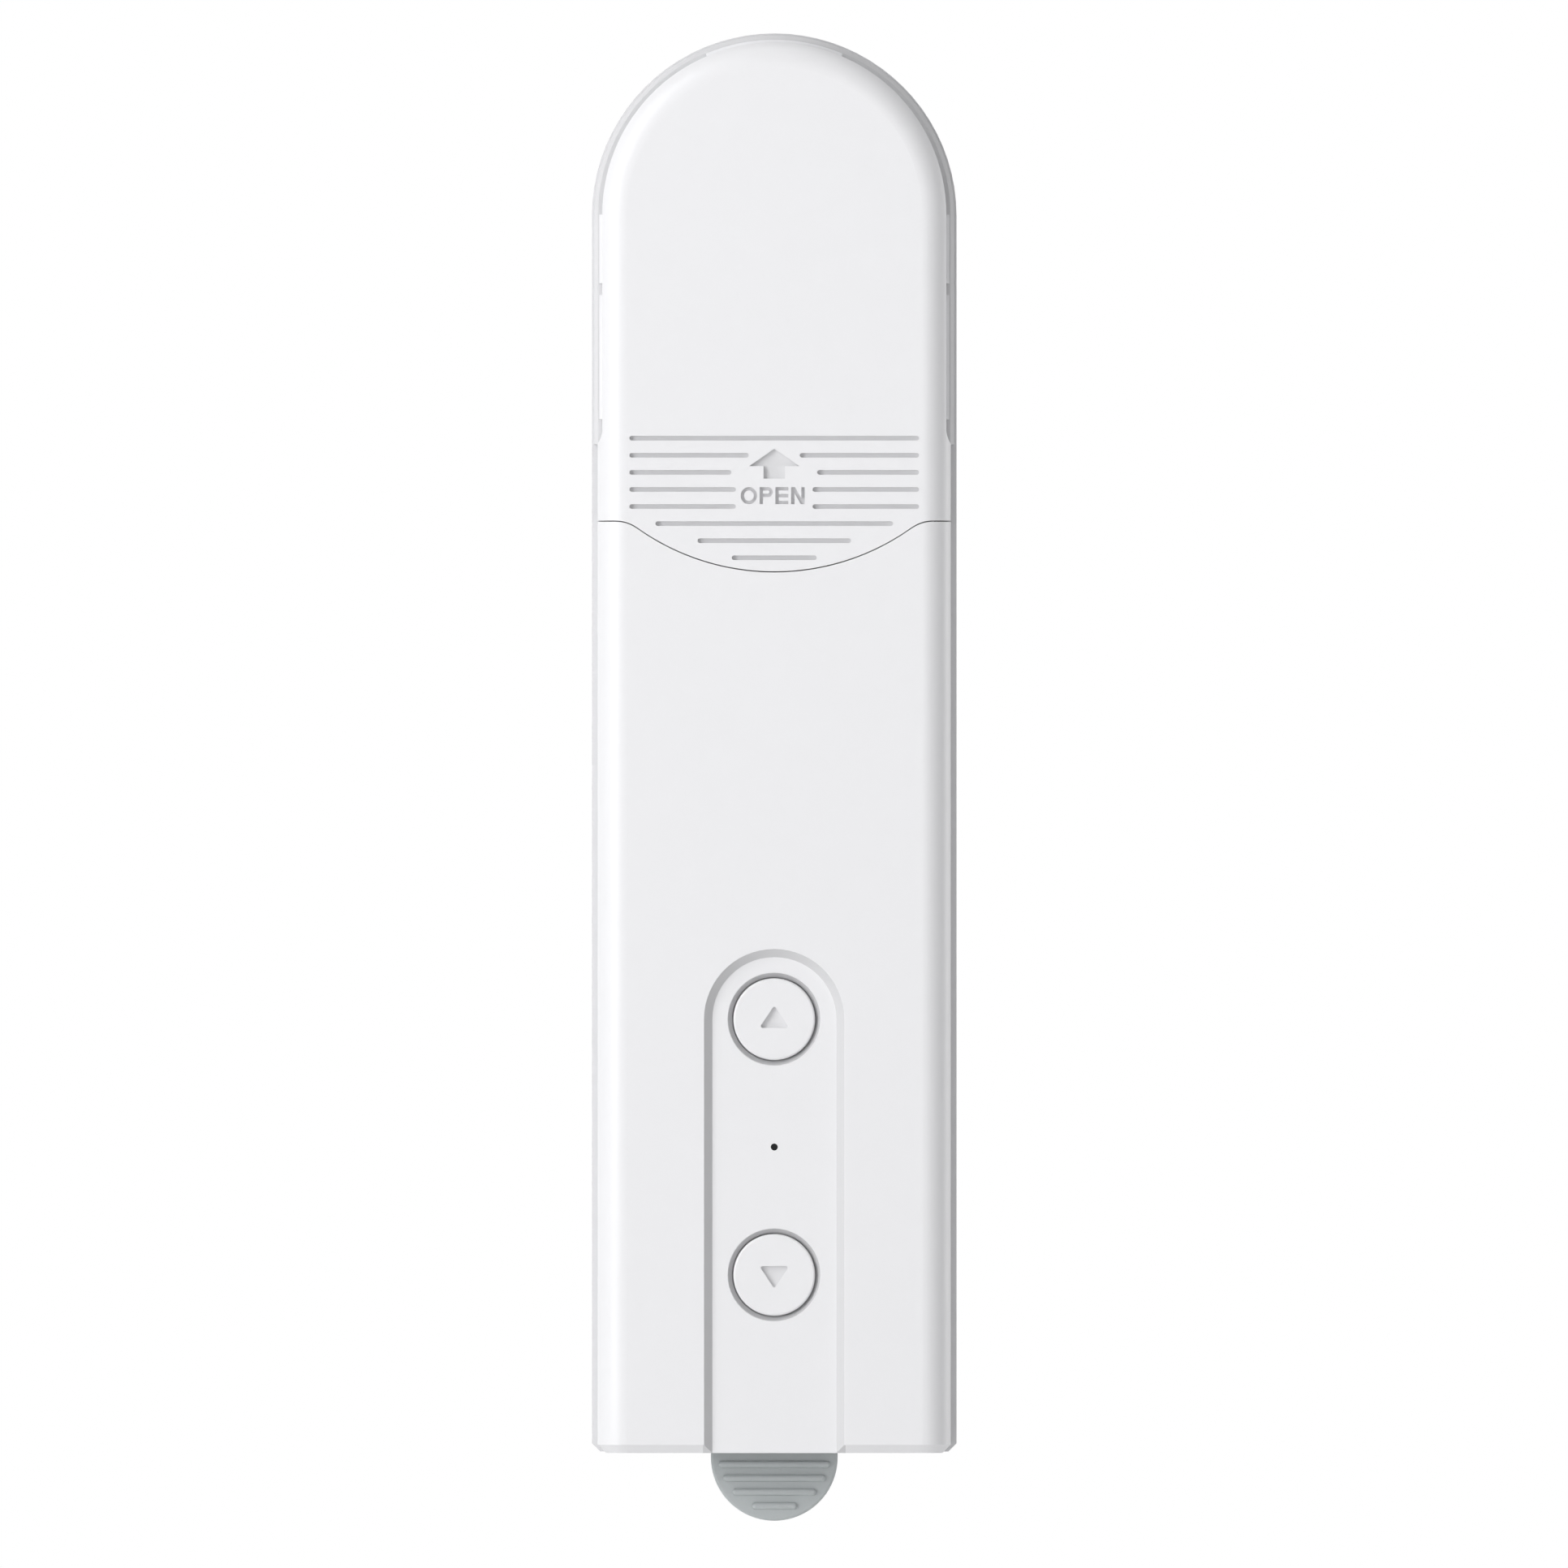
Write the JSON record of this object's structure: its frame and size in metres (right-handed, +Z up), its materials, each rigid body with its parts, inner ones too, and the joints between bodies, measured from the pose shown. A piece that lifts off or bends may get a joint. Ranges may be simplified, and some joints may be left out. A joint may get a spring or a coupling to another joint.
{
  "type": "roller shade motor",
  "caption": "Slim white battery motor for a roller shade bead chain, with a slide-off cover, round buttons and a grey release tab, on a wall bracket.",
  "frame": {"origin": "centre of the wall bracket's two screw holes, on the wall plane", "axes": "+X to the right seen from the front, +Y into the wall, +Z up"},
  "size_m": [0.04, 0.04, 0.1634],
  "materials": {
    "white_plastic": "satin moulded ABS",
    "grey_plastic": "fine matte",
    "bracket_plastic": "matte",
    "black_plastic": "matte",
    "socket_plastic": "matte nylon",
    "wheel_nylon": "satin acetal",
    "gear_nylon": "satin acetal",
    "clear_plastic": "clear polycarbonate",
    "led_resin": "resin",
    "steel": "bright plated",
    "bronze": "sintered bronze",
    "magnet": "sintered ferrite",
    "green_board": "solder mask",
    "cell_sleeve": "shrink sleeve",
    "foam_tape": "closed-cell foam",
    "lead_red": "PVC insulation",
    "lead_black": "PVC insulation"
  },
  "bodies": {
    "bracket": {"wall_bracket": "bracket_plastic", "adhesive_pad_upper": "foam_tape", "adhesive_pad_lower": "foam_tape"},
    "driver": {"battery_cell_left": "cell_sleeve", "battery_cell_right": "cell_sleeve", "battery_lead_left": "lead_black", "battery_lead_right": "lead_red", "battery_socket": "socket_plastic", "battery_tray": "black_plastic", "control_chip": "black_plastic", "down_switch": "black_plastic", "encoder_board": "green_board", "front_bush": "bronze", "front_shell": "white_plastic", "gear_pin_1": "steel", "gear_pin_2": "steel", "gear_pin_3": "steel", "gear_plate": "black_plastic", "gearbox_housing": "white_plastic", "gearbox_screw_1": "steel", "gearbox_screw_2": "steel", "gearbox_screw_3": "steel", "housing_screw_left": "steel", "housing_screw_right": "steel", "light_pipe": "clear_plastic", "main_board": "green_board", "motor_can": "steel", "motor_lead_left": "lead_black", "motor_lead_right": "lead_red", "motor_screw_left": "steel", "motor_screw_right": "steel", "motor_socket": "socket_plastic", "nickel_strip_lower": "steel", "nickel_strip_upper": "steel", "protection_board": "green_board", "radio_shield": "steel", "rear_bush": "bronze", "rear_housing": "white_plastic", "status_led": "led_resin", "tab_pin": "steel", "tab_spring": "steel", "up_switch": "black_plastic", "usb_socket": "steel"},
    "cover": {"chain_cover": "white_plastic"},
    "wheel": {"chain_wheel": "wheel_nylon", "wheel_shaft": "steel", "wheel_screw": "steel", "output_gear": "gear_nylon", "encoder_ring": "magnet"},
    "third_gear": {"gear_3": "gear_nylon"},
    "second_gear": {"gear_2": "gear_nylon"},
    "first_gear": {"gear_1": "gear_nylon"},
    "rotor": {"motor_rotor": "bronze"},
    "up_key": {"up_button": "white_plastic", "up_plunger": "black_plastic"},
    "down_key": {"down_button": "white_plastic", "down_plunger": "black_plastic"},
    "tab": {"release_tab": "grey_plastic", "latch_leaf": "steel"}
  },
  "joints": [
    {"name": "bracket_slide", "type": "slide", "parent": "bracket", "child": "driver", "axis": [0, 0, 1], "range_m": [-0.012, 0.145], "deforming": ["latch_leaf"]},
    {"name": "cover_slide", "type": "slide", "parent": "driver", "child": "cover", "axis": [0, 0, 1], "range_m": [0, 0.062]},
    {"name": "wheel_spin", "type": "hinge", "parent": "driver", "child": "wheel", "pos_m": [0, -0.0316, 0.0556], "axis": [0, 1, 0], "continuous": true},
    {"name": "third_gear_spin", "type": "hinge", "parent": "driver", "child": "third_gear", "pos_m": [-0.005, -0.0316, 0.03956], "axis": [0, 1, 0], "continuous": true},
    {"name": "second_gear_spin", "type": "hinge", "parent": "driver", "child": "second_gear", "pos_m": [0.005, -0.0316, 0.02759], "axis": [0, 1, 0], "continuous": true},
    {"name": "first_gear_spin", "type": "hinge", "parent": "driver", "child": "first_gear", "pos_m": [-0.005, -0.0316, 0.01779], "axis": [0, 1, 0], "continuous": true},
    {"name": "rotor_spin", "type": "hinge", "parent": "driver", "child": "rotor", "pos_m": [0, -0.0316, 0.00365], "axis": [0, 1, 0], "continuous": true},
    {"name": "up_button_press", "type": "slide", "parent": "driver", "child": "up_key", "axis": [0, 1, 0], "range_m": [0, 0.0004], "stiffness_N_per_m": 2500},
    {"name": "down_button_press", "type": "slide", "parent": "driver", "child": "down_key", "axis": [0, 1, 0], "range_m": [0, 0.0004], "stiffness_N_per_m": 2500},
    {"name": "tab_press", "type": "hinge", "parent": "driver", "child": "tab", "pos_m": [0, -0.00575, -0.06], "axis": [1, 0, 0], "range_deg": [0, 5], "stiffness_Nm_per_rad": 0.5, "deforming": ["tab_spring"]}
  ],
  "couplings": [
    {"joint": "third_gear_spin", "follows": "wheel_spin", "ratio": -3},
    {"joint": "second_gear_spin", "follows": "wheel_spin", "ratio": 10},
    {"joint": "first_gear_spin", "follows": "wheel_spin", "ratio": -36.667},
    {"joint": "rotor_spin", "follows": "wheel_spin", "ratio": 146.67}
  ]
}
